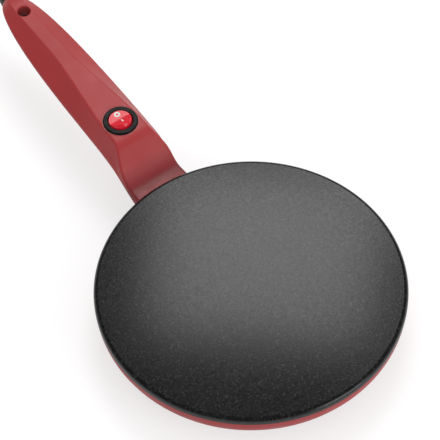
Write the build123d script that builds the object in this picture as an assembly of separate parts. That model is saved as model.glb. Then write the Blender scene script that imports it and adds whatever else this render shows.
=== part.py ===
from build123d import *
from math import cos, pi, radians, sin, sqrt, tan
import os

os.makedirs("parts", exist_ok=True)

# A hand-held electric crepe maker: a domed, non-stick cooking plate on a shallow base dish, with a
# long faceted handle. Z is up from the table, the plate's axis is Z, and the handle points along +Y.

# ---------------------------------------------------------------- driving dimensions, in mm
# Cooking plate
plate_radius = 100.0
plate_thickness = 2.2
plate_rim_height = 27.8  # lower edge of the skirt above the table
plate_skirt = 3.4
plate_rise = 6.0  # middle of the dome above its shoulder
plate_shoulder = 3.2  # rounding between dome and skirt
plate_boss_radius = 5.0
plate_boss_inset = 26.0  # boss circle inside the plate's rim
plate_boss_foot = 20.1  # lower end of the plate's screw bosses above the table

# Base dish
dish_inset = 0.4  # dish rim inside the plate's rim
dish_wall = 2.4
dish_lip = 3.0
dish_shoulder_radius = 18.0
dish_shoulder_turn = 35.0
dish_corner_radius = 14.0
dish_corner_turn = 43.0
dish_floor_height = 5.0
ledge_width = 4.8
ledge_thickness = 3.0
upstand_width = 2.0
upstand_gap = 0.4  # upstand to the plate's underside
plate_fit = 0.4  # skirt to upstand
post_wall = 1.9
post_seat = 3.0
foot_ring_radius = 58.0
foot_ring_width = 7.0
foot_groove_depth = 0.8

# Handle shells
neck_start = 84.0
handle_end = 278.5
handle_wall = 2.0
neck_flare = 2.0
neck_flare_start = 90.0
neck_flare_end = 114.0
neck_top_height = 28.8
neck_bottom_height = 10.5
neck_widest_height = 25.2
neck_seam_height = 24.4
neck_facet_half_width = 19.0
ramp_start = 105.0
ramp_end = 134.5
under_ramp_end = 172.0
facet_ramp_start = 115.0
grip_top_height = 49.6
grip_depth = 23.1
grip_widest_drop = 13.1  # widest line below the grip's top
grip_widest_rise = 0.055  # rise of the widest line per mm along the grip
grip_seam_drop = 15.6
grip_half_width = 19.8
grip_widest_place = 150.0
grip_reach = 130.0  # from the widest place to where the sides would meet
grip_fullness = 2.52
grip_roundness = 0.38
knee_facet_half_width = 12.7
grip_facet_half_width = 4.6
grip_facet_place = 225.0
tip_half_width = 11.0  # where the top facet starts to narrow with the tip
tip_rounding = 12.0
tip_drop = 2.4
seam_foot = 109.0
seam_knee = 133.0
seam_rounding = 12.0
cover_gap = 0.3  # handle cover to the plate's skirt
tip_block = 5.3  # solid end of the handle that holds the cord bush
ramp_step = 5.0
grip_step = 16.0

# Hanging hole, near the handle's end
hang_hole_radius = 4.4
hang_hole_place = 260.1
hang_tube_wall = 0.9
hang_hole_chamfer = 0.5

# Screws
plate_screw_radius = 2.0
plate_screw_head_radius = 3.6
plate_screw_head = 2.4
plate_screw_length = 11.0
cover_screw_radius = 1.5
cover_screw_head_radius = 2.8
cover_screw_head = 2.0
cover_screw_length = 10.0
cover_seat = 2.4
cover_boss_radius = 3.6
well_wall = 1.2
neck_screw_spread = 9.0
neck_screw_place = 124.0
grip_screw_places = (178.0, 236.0)
small_screw_radius = 1.25
small_screw_head_radius = 2.0
small_screw_head = 1.2
screw_tip_gap = 0.3  # end of a screw to the end of its blind hole
screw_fit = 0.05
head_fit = 0.5
cross_slot = 0.9

# Rocker switch
switch_place = 145.2
bezel_radius = 11.5
bezel_height = 1.6
bezel_rounding = 0.8
bezel_seat = 0.2  # depth of the bezel's recess in the top facet
bezel_fit = 0.1
barrel_radius = 9.9
barrel_fit = 0.15
catch_gap = 0.5
barrel_depth = 14.6
barrel_floor = 1.6
barrel_bore_radius = 8.45
pivot_depth = 3.0  # rocker's pivot below the bezel's face
rocker_radius = 7.8
rocker_ball_radius = 8.25
rocker_tilt = 11.0
rocker_middle = 3.2  # middle of the rocker's dished top above its pivot
rocker_skirt = 2.4
rocker_wall = 1.3
pivot_pin_radius = 1.0
pivot_pin_reach = 9.2
pivot_fit = 0.05
stem_radius = 2.6
stem_length = 6.2
plunger_radius = 1.6
plunger_fit = 0.06
plunger_reach = 8.3
plunger_length = 4.6
spring_wire_radius = 0.2
spring_coils = 3.5
lamp_radius = 1.4
lamp_length = 7.0
lamp_offset = 4.4
lever_thickness = 0.8
lever_width = 4.6
lever_half_length = 6.6
lever_tilt = 5.5
contact_radius = 1.1
contact_height = 0.6
contact_place = 5.4
contact_gap = 0.05
tab_thickness = 0.8
tab_width = 4.8
tab_length = 6.2
lamp_tab_place = 6.6

# Heating
element_inset = 40.0  # element's middle line inside the plate's rim
element_tube_radius = 3.3
element_half_gap = 12.0
element_leg = 10.0
element_bend = 8.0
element_gap = 0.1
element_seat_width = 8.0
element_pin_radius = 1.4
element_pin_length = 2.0
clip_thickness = 0.8
clip_width = 7.0
clip_foot = 5.0
clip_boss_radius = 4.0
clip_fit = 0.12
shield_inset = 10.0  # shield's rim inside the plate's
shield_thickness = 0.6
shield_lip = 3.0
shield_notch = 30.0  # cut-out for the leads
thermostat_radius = 8.0
thermostat_height = 8.5
thermostat_flange_radius = 10.0
thermostat_flange = 1.2
thermostat_gap = 0.05
strap_reach = 17.0
strap_width = 10.0
strap_thickness = 1.0
fuse_radius = 2.0
fuse_length = 11.0
sleeve_wall = 0.5
fuse_place = (34.0, 12.0, 24.6)

# Inner leads
core_radius = 1.15
receptacle_wall = 0.8
barrel_crimp_radius = 1.6
barrel_crimp_length = 3.4
splice_radius = 3.2
splice_length = 12.0
splice_place = (-9.8, 185.0)
splice_drop = 2.4  # splice below the cord's middle

# Supply cord
cord_radius = 3.0
cord_drop = 10.0  # cord's middle below the grip's top
cord_tail_end = 268.3
tail_gap = 0.3  # end of the cord's sheath to the cord clamp
bush_length = 32.0
bush_neck_radius = 4.3
bush_collar_radius = 5.2
bush_collar = 2.4
bush_tip_radius = 3.9
bush_flange_radius = 5.0
bush_flange = 1.8
bush_flange_depth = 2.2  # flange's outer face inside the handle's end
bush_fit = 0.15
bush_grooves = 5
bush_groove_depth = 0.7
cord_fit = 0.05
cradle_drop = 0.6  # cradle's top below the middle of the cord
clamp_length = 4.4
clamp_half_width = 6.2
clamp_thickness = 3.5
clamp_gap = 0.4
clamp_rounding = 1.6
clamp_screw_radius = 1.0
clamp_screw_head_radius = 1.8
clamp_screw_head = 1.1
clamp_screw_spread = 4.6
clamp_screw_length = 9.0
coil_radius = 33.0
coil_columns = 2
coil_layers = 2
coil_side = 41.0  # middle of the wound cord, to one side of the handle
coil_run = 109.5  # middle of the wound cord, beyond the bush
cord_straight = 13.0  # straight cord beyond the bush
cord_fall = ((36.0, 0.78), (60.0, 0.36), (85.0, 0.07))  # run beyond the bush, share of the height left
plug_lead_runs = (14.0, 15.0, 13.0)
plug_lead_shift = 0.6
plug_length = 30.0
plug_width = 23.0
plug_height = 16.0
plug_nose = 9.0
blade_length = 17.0
blade_width = 6.35
blade_thickness = 1.5
blade_spacing = 12.7
blade_hole_radius = 1.5
blade_hole_inset = 4.0  # hole's middle to the blade's tip
plug_corner = 4.0
plug_taper = (8.0, 5.0)  # narrower and lower at the cord's end

# ---------------------------------------------------------------- places that follow from them
dish_radius = plate_radius - dish_inset
plate_boss_circle = plate_radius - plate_boss_inset
element_radius = plate_radius - element_inset
shield_radius = plate_radius - shield_inset
grip_bottom_height = grip_top_height - grip_depth
grip_widest_height = grip_top_height - grip_widest_drop
grip_seam_height = grip_top_height - grip_seam_drop
cord_height = grip_top_height - cord_drop
crown_height = plate_rim_height + plate_skirt + plate_rise
dome_radius = (plate_radius**2 + plate_rise**2) / (2 * plate_rise)
plate_boss_angles = (45, 135, 225, 315)
post_top = plate_boss_foot - shield_thickness
plate_screw_seat = post_top - post_seat
bezel_foot = grip_top_height - bezel_seat
bezel_face = grip_top_height + bezel_height
pivot_height = bezel_face - pivot_depth
barrel_bottom = grip_top_height - barrel_depth
lever_pivot_height = pivot_height - plunger_reach - contact_gap / 2 - lever_thickness
bush_end = handle_end + bush_length
clamp_top = cord_height + clamp_thickness


def dome_height(radius, inset=0.0):
    """Height of the dome at `radius` from its axis, `inset` below its outer face."""
    return crown_height - dome_radius + sqrt((dome_radius - inset) ** 2 - radius**2)


element_end_y = sqrt(element_radius**2 - element_half_gap**2) + element_leg
element_far_radius = sqrt(element_half_gap**2 + element_end_y**2)
element_height = dome_height(element_far_radius, plate_thickness) - element_tube_radius - element_gap
clip_circle = element_radius + element_tube_radius + clip_thickness + clip_foot
clip_angles = (270, 20, 160)
thermostat_top = dome_height(thermostat_flange_radius, plate_thickness) - thermostat_gap
strap_top = thermostat_top - thermostat_flange


# ---------------------------------------------------------------- helpers
def ease(share, blend=0.3):
    """A ramp from 0 to 1 that is straight in the middle and rounded over `blend` at each end."""
    share = min(max(share, 0.0), 1.0)
    slope = 1 / (1 - blend)
    if share < blend:
        return slope * share**2 / (2 * blend)
    if share > 1 - blend:
        return 1 - slope * (1 - share) ** 2 / (2 * blend)
    return slope * (share - blend / 2)


def between(start, end, share):
    return start + (end - start) * share


def around(radius, angle):
    """The place at `radius` from the plate's axis, `angle` degrees round from +X."""
    return radius * cos(radians(angle)), radius * sin(radians(angle))


def rod(radius, low, high, x=0.0, y=0.0):
    """An upright cylinder from height `low` to height `high`."""
    return Pos(x, y, low) * Cylinder(radius, high - low, align=(Align.CENTER, Align.CENTER, Align.MIN))


def long_rod(radius, start, end, x=0.0, z=0.0, end_radius=None):
    """A round bar along Y, tapered where `end_radius` is given."""
    frame = Plane(origin=(x, start, z), x_dir=(1, 0, 0), z_dir=(0, 1, 0))
    align = (Align.CENTER, Align.CENTER, Align.MIN)
    if end_radius is None:
        return frame * Cylinder(radius, end - start, align=align)
    return frame * Cone(radius, end_radius, end - start, align=align)


def cross_rod(radius, start, end, y=0.0, z=0.0):
    """A round bar along X."""
    frame = Plane(origin=(start, y, z), x_dir=(0, 1, 0), z_dir=(1, 0, 0))
    return frame * Cylinder(radius, end - start, align=(Align.CENTER, Align.CENTER, Align.MIN))


def block(x_range, y_range, z_range):
    """A box between two values along each axis."""
    sizes = [high - low for low, high in (x_range, y_range, z_range)]
    corner = Pos(x_range[0], y_range[0], z_range[0])
    return corner * Box(*sizes, align=(Align.MIN, Align.MIN, Align.MIN))


def ring(inner, outer, low, high):
    return rod(outer, low, high) - rod(inner, low, high)


def screw(radius, head_radius, head, length, x, y, seat):
    """A pan-head screw that enters upwards, its head's bearing face at height `seat`."""
    body = rod(radius, seat, seat + length, x, y) + rod(head_radius, seat - head, seat, x, y)
    half = head_radius * 0.6
    low = seat - head
    for x_half, y_half in ((half, cross_slot / 2), (cross_slot / 2, half)):
        body -= block((x - x_half, x + x_half), (y - y_half, y + y_half), (low, low + head / 2))
    return body


def route_radii(points):
    """For each corner of a route, the largest arc that its two runs leave room for."""
    radii = []
    for before, corner, after in zip(points, points[1:], points[2:]):
        run_in, run_out = Vector(*corner) - Vector(*before), Vector(*after) - Vector(*corner)
        half_turn = radians(run_in.get_angle(run_out)) / 2
        radii.append(0.45 * min(run_in.length, run_out.length) / tan(half_turn))
    return radii


def tube_along(points, radius):
    """A round tube of straight runs that tangent arcs join."""
    path = FilletPolyline(*points, radius=route_radii(points))
    return sweep(Plane(path @ 0, z_dir=path % 0) * Circle(radius), path=path), path


# ---------------------------------------------------------------- cooking plate and what it carries
def dome_solid(inset):
    """What lies under the plate's outer face, moved inwards by `inset`."""
    radius = plate_radius - inset
    with BuildSketch(Plane.XZ) as half:
        with BuildLine():
            side = Line((radius, plate_rim_height), (radius, dome_height(radius, inset)))
            middle = (radius / 2, dome_height(radius / 2, inset))
            ThreePointArc(side @ 1, middle, (0, crown_height - inset))
            Line((0, crown_height - inset), (0, plate_rim_height))
            Line((0, plate_rim_height), side @ 0)
        make_face()
        shoulder = half.vertices().group_by(Axis.X)[-1].sort_by(Axis.Y)[-1]
        fillet(shoulder, plate_shoulder - inset)
    return revolve(half.sketch, axis=Axis.Z)


def plate_boss(radius, foot, x, y):
    """A boss under the plate that ends inside the plate's thickness."""
    reach = sqrt(x**2 + y**2)
    return rod(radius, foot, dome_height(reach, plate_thickness / 2), x, y)


def boss_bore(radius, foot, x, y):
    reach = sqrt(x**2 + y**2)
    return rod(radius + screw_fit, foot, dome_height(reach, plate_thickness), x, y)


def plate_side_screw(seat, x, y):
    """A small screw up into one of the plate's blind bosses."""
    length = dome_height(sqrt(x**2 + y**2), plate_thickness) - screw_tip_gap - seat
    return screw(small_screw_radius, small_screw_head_radius, small_screw_head, length, x, y, seat)


def make_cooking_plate():
    bosses = [(plate_boss_radius, plate_boss_foot, plate_screw_radius, *around(plate_boss_circle, angle))
              for angle in plate_boss_angles]
    bosses += [(clip_boss_radius, element_height, small_screw_radius, *around(clip_circle, angle))
               for angle in clip_angles]
    bosses += [(clip_boss_radius, strap_top, small_screw_radius, side * strap_reach, 0.0) for side in (-1, 1)]
    plate = dome_solid(0.0) - dome_solid(plate_thickness)
    inner, outer = element_radius - element_seat_width / 2, element_radius + element_seat_width / 2
    seat_foot = element_height + element_tube_radius / 2
    seat = ring(inner, outer, seat_foot, dome_height(outer, plate_thickness / 2))
    seat -= Pos(0, 0, element_height) * Torus(element_radius, element_tube_radius + element_gap)
    clear = element_half_gap + 2 * element_bend
    plate += seat - block((-clear, clear), (0, plate_radius), (0, crown_height))
    for radius, foot, _, x, y in bosses:
        plate += plate_boss(radius, foot, x, y)
    for _, foot, bore, x, y in bosses:
        plate -= boss_bore(bore, foot, x, y)
    return plate


def make_heating_element():
    start, end = element_end_y - element_leg, element_end_y
    with BuildLine(Plane.XY.offset(element_height)) as path:
        loop = ThreePointArc((element_half_gap, start), (0, -element_radius), (-element_half_gap, start))
        Line(loop @ 0, (element_half_gap, end, 0))
        Line(loop @ 1, (-element_half_gap, end, 0))
        corners = path.vertices().group_by(Axis.Y)[-2]
        fillet(corners, element_bend)
    wire = path.wire()
    return sweep(Plane(wire @ 0, z_dir=wire % 0) * Circle(element_tube_radius), path=wire)


def element_tab(side):
    """The flat tab on an element pin, as x, y and z ranges."""
    x = side * element_half_gap
    start = element_end_y + element_pin_length
    return (
        (x - tab_width / 2, x + tab_width / 2),
        (start, start + tab_length),
        (element_height - tab_thickness / 2, element_height + tab_thickness / 2),
    )


def make_element_terminals():
    terminals = []
    for side in (-1, 1):
        pin_end = element_end_y + element_pin_length
        pin = long_rod(element_pin_radius, element_end_y, pin_end, side * element_half_gap, element_height)
        terminals.append(pin + block(*element_tab(side)))
    return terminals


def make_element_clips():
    clips = []
    outer = element_tube_radius + clip_fit + clip_thickness
    foot_end = clip_circle - element_radius + clip_boss_radius
    for angle in clip_angles:
        radial = Vector(*around(1.0, angle), 0)
        middle = (*around(element_radius, angle), element_height)
        frame = Plane(origin=middle, x_dir=radial, z_dir=radial.cross(Vector(0, 0, 1)))
        saddle = Circle(outer) - Circle(element_tube_radius + clip_fit)
        saddle = saddle & Pos(0, -outer / 2) * Rectangle(2 * outer, outer)
        foot_length = foot_end - element_tube_radius - clip_fit
        foot = Rectangle(foot_length, clip_thickness, align=(Align.MIN, Align.MAX))
        section = saddle + Pos(element_tube_radius + clip_fit, 0) * foot
        clip = extrude(frame * section, clip_width / 2, both=True)
        clips.append(clip - rod(small_screw_radius + screw_fit, 0, crown_height, *around(clip_circle, angle)))
    return clips


def make_clip_screws():
    seat = element_height - clip_thickness
    return [plate_side_screw(seat, *around(clip_circle, angle)) for angle in clip_angles]


def thermostat_tab(side):
    """The flat terminal at one side of the thermostat, as x, y and z ranges."""
    inner, outer = thermostat_radius - 1.0, thermostat_radius + tab_length
    y_range = (inner, outer) if side > 0 else (-outer, -inner)
    low = thermostat_top - thermostat_height + 1.0
    return (-tab_width / 2, tab_width / 2), y_range, (low, low + tab_thickness)


def make_thermostat():
    body = rod(thermostat_radius, thermostat_top - thermostat_height, strap_top)
    body += rod(thermostat_flange_radius, strap_top, thermostat_top)
    return body - block(*thermostat_tab(1)) - block(*thermostat_tab(-1))


def make_thermostat_strap():
    reach = strap_reach + clip_boss_radius
    under = strap_top - strap_thickness
    strap = block((-reach, reach), (-strap_width / 2, strap_width / 2), (under, strap_top))
    strap += rod(thermostat_flange_radius, under, strap_top)
    strap -= rod(thermostat_radius + clip_fit, 0, crown_height)
    for side in (-1, 1):
        strap -= rod(small_screw_radius + screw_fit, 0, crown_height, side * strap_reach)
    return strap


def make_strap_screws():
    return [plate_side_screw(strap_top - strap_thickness, side * strap_reach, 0.0) for side in (-1, 1)]


def make_heat_shield():
    shield = rod(shield_radius, post_top, plate_boss_foot)
    shield += ring(shield_radius - shield_thickness, shield_radius, post_top - shield_lip, plate_boss_foot)
    for angle in plate_boss_angles:
        shield -= rod(plate_screw_radius + screw_fit, 0, crown_height, *around(plate_boss_circle, angle))
    half = shield_notch / 2
    return shield - block((-half, half), (shield_radius - half, shield_radius + 1), (0, crown_height))


def make_plate_screws():
    return [
        screw(plate_screw_radius, plate_screw_head_radius, plate_screw_head, plate_screw_length,
              *around(plate_boss_circle, angle), plate_screw_seat)
        for angle in plate_boss_angles
    ]


# ---------------------------------------------------------------- handle form
def handle_outline(y, inset=0.0):
    """Corners and corner radii of the handle's cross-section at `y`, its sides moved in by `inset`."""
    lift = ease((y - ramp_start) / (ramp_end - ramp_start))
    tip = max(0.0, 1 - (handle_end - y) / tip_rounding) ** 2
    reach = max(0.0, (y - grip_widest_place) / grip_reach)
    flare = neck_flare * (1 - ease((y - neck_flare_start) / (neck_flare_end - neck_flare_start)))
    half = grip_half_width * (1 - reach**grip_fullness) ** grip_roundness + flare
    top = between(neck_top_height, grip_top_height, lift) - tip_drop * tip
    widest = between(neck_widest_height, grip_widest_height, lift) - tip_drop / 2 * tip
    widest += grip_widest_rise * max(0.0, y - ramp_end)
    under = ease((y - ramp_start) / (under_ramp_end - ramp_start))
    bottom = between(neck_bottom_height, grip_bottom_height, under) + tip_drop * (1 + tip) * reach
    knee = ease((y - facet_ramp_start) / (ramp_end - facet_ramp_start))
    taper = ease((y - ramp_end) / (grip_facet_place - ramp_end))
    facet = between(neck_facet_half_width, knee_facet_half_width, knee)
    facet = between(facet, grip_facet_half_width, taper) * min(1.0, half / tip_half_width)
    side = between(widest, bottom, 0.55)
    right = [(facet, top), (half, widest), (0.84 * half, side), (0.42 * half, bottom)]
    corners = [(x, z) for x, z in right] + [(-x, z) for x, z in reversed(right)]
    scale = half / grip_half_width
    radii = [corner * scale for corner in (2.2, 2.6, 6.0, 5.0)]
    corners = moved_in(corners, inset)
    return corners, fitting_radii(corners, radii + radii[::-1])


def moved_in(corners, amount):
    """The corners of a clockwise, convex outline after each side moves inwards by `amount`."""
    moved = []
    for before, corner, after in zip(corners[-1:] + corners[:-1], corners, corners[1:] + corners[:1]):
        side_in = (Vector(*corner) - Vector(*before)).normalized()
        side_out = (Vector(*after) - Vector(*corner)).normalized()
        inwards = Vector(side_in.Y + side_out.Y, -side_in.X - side_out.X)
        shift = inwards * (amount / (1 + side_in.dot(side_out)))
        moved.append((corner[0] + shift.X, corner[1] + shift.Y))
    return moved


def fitting_radii(corners, radii):
    """The corner radii, made smaller where two neighbours would not fit on the side between them."""
    sides = [Vector(*after) - Vector(*corner) for corner, after in zip(corners, corners[1:] + corners[:1])]
    tangents = [
        radius * tan(radians(before.get_angle(after)) / 2)
        for radius, before, after in zip(radii, sides[-1:] + sides[:-1], sides)
    ]
    shares = [
        min(1.0, 0.85 * side.length / (here + there))
        for side, here, there in zip(sides, tangents, tangents[1:] + tangents[:1])
    ]
    neighbours = zip(shares[-1:] + shares[:-1], shares)
    return [radius * min(pair) for radius, pair in zip(radii, neighbours)]


def handle_section(y, inset):
    corners, radii = handle_outline(y, inset)
    outline = FilletPolyline(*corners, radius=radii, close=True)
    frame = Plane(origin=(0, y, 0), x_dir=(1, 0, 0), z_dir=(0, -1, 0))
    return frame * make_face(outline.edges())


def handle_solid(inset, end):
    """The handle's outer form, moved inwards by `inset`, from inside the dish to `end`."""
    places = [neck_start]
    while places[-1] < end:
        y = places[-1]
        from_bends = max(0.0, min(y - ramp_end - ramp_step, handle_end - 2 * tip_rounding - y))
        places.append(y + min(grip_step, ramp_step + from_bends / 2))
    places[-1] = end
    if end - places[-2] < ramp_step / 2:
        places.pop(-2)
    return loft([handle_section(y, inset) for y in places])


def seam_height(y):
    """Height of the joint between the handle's cover and its lower half."""
    if y < seam_knee:
        return between(neck_seam_height, grip_seam_height, max(0.0, y - seam_foot) / (seam_knee - seam_foot))
    return between(grip_seam_height, cord_height, (y - seam_knee) / (handle_end - seam_knee))


def above_seam():
    """Everything above the joint between the handle's two halves."""
    far = handle_end + bush_length
    high = 2 * grip_top_height
    with BuildSketch(Plane.YZ) as side:
        with BuildLine():
            seam = FilletPolyline(
                (0, neck_seam_height), (seam_foot, neck_seam_height), (seam_knee, grip_seam_height),
                (far, seam_height(far)), radius=seam_rounding,
            )
            Polyline(seam @ 1, (far, high), (0, high), seam @ 0)
        make_face()
    return extrude(side.sketch, 2 * grip_half_width, both=True)


clamp_start = cord_tail_end + tail_gap
clamp_screw_places = [(side * clamp_screw_spread, clamp_start + clamp_length / 2) for side in (-1, 1)]
cover_screw_places = [(side * neck_screw_spread, neck_screw_place) for side in (-1, 1)]
cover_screw_places += [(0.0, place) for place in grip_screw_places]


def bush_cavity():
    """The hole through the handle's solid end, with a groove for the cord bush's flange."""
    groove_end = handle_end - bush_flange_depth + bush_fit
    groove_start = groove_end - bush_flange - 2 * bush_fit
    hole = long_rod(bush_neck_radius + bush_fit, handle_end - tip_block - 1, handle_end + 1, 0, cord_height)
    return hole + long_rod(bush_flange_radius + bush_fit, groove_start, groove_end, 0, cord_height)


def hang_bore():
    """The hanging hole right through the handle, with both mouths chamfered."""
    bottom = handle_outline(hang_hole_place)[0][3][1]
    bore = rod(hang_hole_radius, 0, 2 * grip_top_height, 0, hang_hole_place)
    wide = hang_hole_radius + 2 * hang_hole_chamfer
    for mouth, lower, upper in ((grip_top_height, hang_hole_radius, wide), (bottom, wide, hang_hole_radius)):
        bore += Pos(0, hang_hole_place, mouth) * Cone(lower, upper, 2 * hang_hole_chamfer)
    return bore


def make_handle_cover(outside, inside, upper):
    tall = 2 * grip_top_height
    in_wall = grip_top_height - 0.6 * handle_wall
    tube_foot = seam_height(hang_hole_place) + 1.0
    posts = rod(hang_hole_radius + hang_tube_wall, tube_foot, in_wall, 0, hang_hole_place)
    for x, y in cover_screw_places:
        screw_end = seam_height(y) - cover_seat + cover_screw_length
        top = in_wall if y > ramp_end else screw_end + 1.0
        posts += rod(cover_boss_radius, seam_height(y) - 1.0, top, x, y)
    cover = (outside & upper) - inside
    cover += posts & upper
    cover -= rod(plate_radius + cover_gap, 0, tall)
    cover -= rod(barrel_radius + barrel_fit, pivot_height - pivot_depth, tall, 0, switch_place)
    cover -= rod(bezel_radius + bezel_fit, bezel_foot, tall, 0, switch_place)
    for x, y in cover_screw_places:
        screw_end = seam_height(y) - cover_seat + cover_screw_length
        cover -= rod(cover_screw_radius + screw_fit, 0, screw_end + 0.2, x, y)
    return cover - bush_cavity() - hang_bore()


def lower_posts():
    """The screw wells' walls, the hang tube and the cord cradle, before they are cut to the handle."""
    posts = rod(hang_hole_radius + hang_tube_wall, 0, seam_height(hang_hole_place) - 0.5, 0, hang_hole_place)
    for x, y in cover_screw_places:
        posts += rod(cover_screw_head_radius + head_fit + well_wall, 0, 2 * grip_top_height, x, y)
    cradle_range = (clamp_start, clamp_start + clamp_length)
    wide = 2 * clamp_half_width
    return posts + block((-wide, wide), cradle_range, (0, cord_height - cradle_drop))


def lower_cuts():
    """The screw wells, screw holes, cord groove and cord-clamp holes in the lower half."""
    cuts = bush_cavity() + hang_bore()
    for x, y in cover_screw_places:
        cuts += rod(cover_screw_head_radius + head_fit, 0, seam_height(y) - cover_seat, x, y)
        cuts += rod(cover_screw_radius + screw_fit, 0, 2 * grip_top_height, x, y)
    cuts += long_rod(cord_radius + cord_fit, cord_tail_end, handle_end - tip_block, 0, cord_height)
    bore_end = clamp_top - clamp_screw_length - screw_tip_gap
    for x, y in clamp_screw_places:
        cuts += rod(clamp_screw_radius + screw_fit, bore_end, cord_height, x, y)
    return cuts


# ---------------------------------------------------------------- base housing
def dish_solid(inset):
    """The dish's outer form, moved inwards by `inset`, filled up to its rim."""
    with BuildSketch(Plane.XZ) as half:
        with BuildLine():
            radius = dish_radius - inset
            lip = Line((radius, plate_rim_height), (radius, plate_rim_height - dish_lip))
            shoulder = JernArc(lip @ 1, lip % 1, dish_shoulder_radius - inset, -dish_shoulder_turn)
            corner = JernArc(shoulder @ 1, shoulder % 1, dish_corner_radius - inset, -dish_corner_turn)
            fall = (corner @ 1).Y - dish_floor_height - inset
            cone = Line(corner @ 1, corner @ 1 + (corner % 1) * (fall / -(corner % 1).Y))
            Line(cone @ 1, (0, dish_floor_height + inset))
            Line((0, dish_floor_height + inset), (0, plate_rim_height))
            Line((0, plate_rim_height), lip @ 0)
        make_face()
    return revolve(half.sketch, axis=Axis.Z)


def make_base_housing(outside, inside, upper):
    """Dish and lower half of the handle, one moulding."""
    dish = dish_solid(0.0)
    cavity = dish_solid(dish_wall) & rod(plate_radius, 0, plate_rim_height - ledge_thickness)
    over_ledge = rod(dish_radius + cover_gap, neck_seam_height, 2 * grip_top_height)
    housing = dish + (outside - upper) - cavity - (inside - over_ledge)
    housing += lower_posts() & handle_solid(handle_wall / 2, handle_end - tip_block / 2) - upper
    housing -= rod(dish_radius - ledge_width, plate_rim_height - 2 * ledge_thickness, plate_rim_height)
    upstand_radius = plate_radius - plate_thickness - plate_fit
    upstand_top = dome_height(upstand_radius, plate_thickness) - upstand_gap
    housing += ring(upstand_radius - upstand_width, upstand_radius,
                    plate_rim_height - ledge_thickness / 2, upstand_top)
    well_radius = plate_screw_head_radius + head_fit
    for angle in plate_boss_angles:
        place = around(plate_boss_circle, angle)
        housing += rod(well_radius + post_wall, 0, post_top, *place) & dish
        housing -= rod(well_radius, 0, plate_screw_seat, *place)
        housing -= rod(plate_screw_radius + screw_fit, 0, crown_height, *place)
    return housing - foot_ring() - lower_cuts()


def foot_ring():
    """The soft ring that the base stands on, set in a groove in the dish's floor."""
    half = foot_ring_width / 2
    return ring(foot_ring_radius - half, foot_ring_radius + half, 0, dish_floor_height + foot_groove_depth)


def make_cover_screws():
    return [
        screw(cover_screw_radius, cover_screw_head_radius, cover_screw_head, cover_screw_length, x, y,
              seam_height(y) - cover_seat)
        for x, y in cover_screw_places
    ]


# ---------------------------------------------------------------- rocker switch
def at_pivot(shape):
    """Moves a shape that is drawn around the rocker's pivot to its place in the switch, switched on."""
    return Pos(0, switch_place, pivot_height) * Rot(-rocker_tilt, 0, 0) * shape


def switch_tab_places():
    """Place along Y of each terminal, with the height of its inner end."""
    contact_top = lever_pivot_height - contact_place * tan(radians(lever_tilt)) - contact_height - contact_gap
    return {
        "common": (switch_place, lever_pivot_height - contact_gap),
        "load": (switch_place - contact_place, contact_top),
        "lamp": (switch_place + lamp_tab_place, barrel_bottom + barrel_floor + 1.0),
    }


def switch_tab(name):
    place, top = switch_tab_places()[name]
    half = tab_thickness / 2
    foot = barrel_bottom - tab_length
    return block((-tab_width / 2, tab_width / 2), (place - half, place + half), (foot, top))


def make_switch_housing():
    housing = rod(bezel_radius, bezel_foot, bezel_face, 0, switch_place)
    housing = fillet(housing.edges().filter_by(GeomType.CIRCLE).sort_by(Axis.Z)[-1], bezel_rounding)
    housing += rod(barrel_radius, barrel_bottom, bezel_foot, 0, switch_place)
    catch_top = grip_top_height - handle_wall - catch_gap
    for side in (-1, 1):
        inner, outer = side * (barrel_radius - 0.5), side * (barrel_radius + 0.8)
        with BuildSketch(Plane.XZ) as catch:
            with BuildLine():
                Polyline((inner, catch_top), (outer, catch_top), (inner, catch_top - 3.5), close=True)
            make_face()
        housing += Pos(0, switch_place, 0) * extrude(catch.sketch, 2.0, both=True)
    housing -= rod(barrel_bore_radius, barrel_bottom + barrel_floor, bezel_face, 0, switch_place)
    reach = barrel_radius + 1
    housing -= cross_rod(pivot_pin_radius + pivot_fit, -reach, reach, switch_place, pivot_height)
    for name in switch_tab_places():
        housing -= switch_tab(name)
    return housing


def make_switch_terminals():
    return [switch_tab(name) for name in switch_tab_places()]


def rocker_roof(middle):
    """The space above the rocker's dished top: two flats that fall to the middle."""
    far = 2 * rocker_radius
    edge = middle + far * tan(radians(rocker_tilt))
    with BuildSketch(Plane.YZ) as side:
        with BuildLine():
            Polyline((0, middle), (far, edge), (far, 4 * far), (-far, 4 * far), (-far, edge), close=True)
        make_face()
    return extrude(side.sketch, far, both=True)


def make_switch_rocker():
    cap = rod(rocker_radius, -rocker_skirt, rocker_radius) & Sphere(rocker_ball_radius)
    cap -= rocker_roof(rocker_middle)
    pocket = rod(rocker_radius - rocker_wall, -rocker_skirt, rocker_radius)
    pocket = pocket & Sphere(rocker_ball_radius - rocker_wall)
    pocket -= rocker_roof(rocker_middle - rocker_wall)
    rocker = cap - pocket
    rocker += rod(stem_radius, -stem_length, rocker_middle - rocker_wall / 2)
    rocker -= rod(plunger_radius + plunger_fit, -stem_length, 0)
    for side in (-1, 1):
        ends = sorted((side * (rocker_radius - rocker_wall / 2), side * pivot_pin_reach))
        rocker += cross_rod(pivot_pin_radius, *ends)
    return at_pivot(rocker)


def make_rocker_plunger():
    pin = rod(plunger_radius, -plunger_reach, plunger_length - plunger_reach)
    pin = fillet(pin.edges().filter_by(GeomType.CIRCLE).sort_by(Axis.Z)[0], plunger_radius * 0.8)
    return at_pivot(pin)


def make_plunger_spring():
    low = plunger_length - plunger_reach + spring_wire_radius
    high = -spring_wire_radius
    radius = plunger_radius - spring_wire_radius - plunger_fit
    path = Helix((high - low) / spring_coils, high - low, radius)
    wire = sweep(Plane(path @ 0, z_dir=path % 0) * Circle(spring_wire_radius), path=path)
    return at_pivot(Pos(0, 0, low) * wire)


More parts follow.
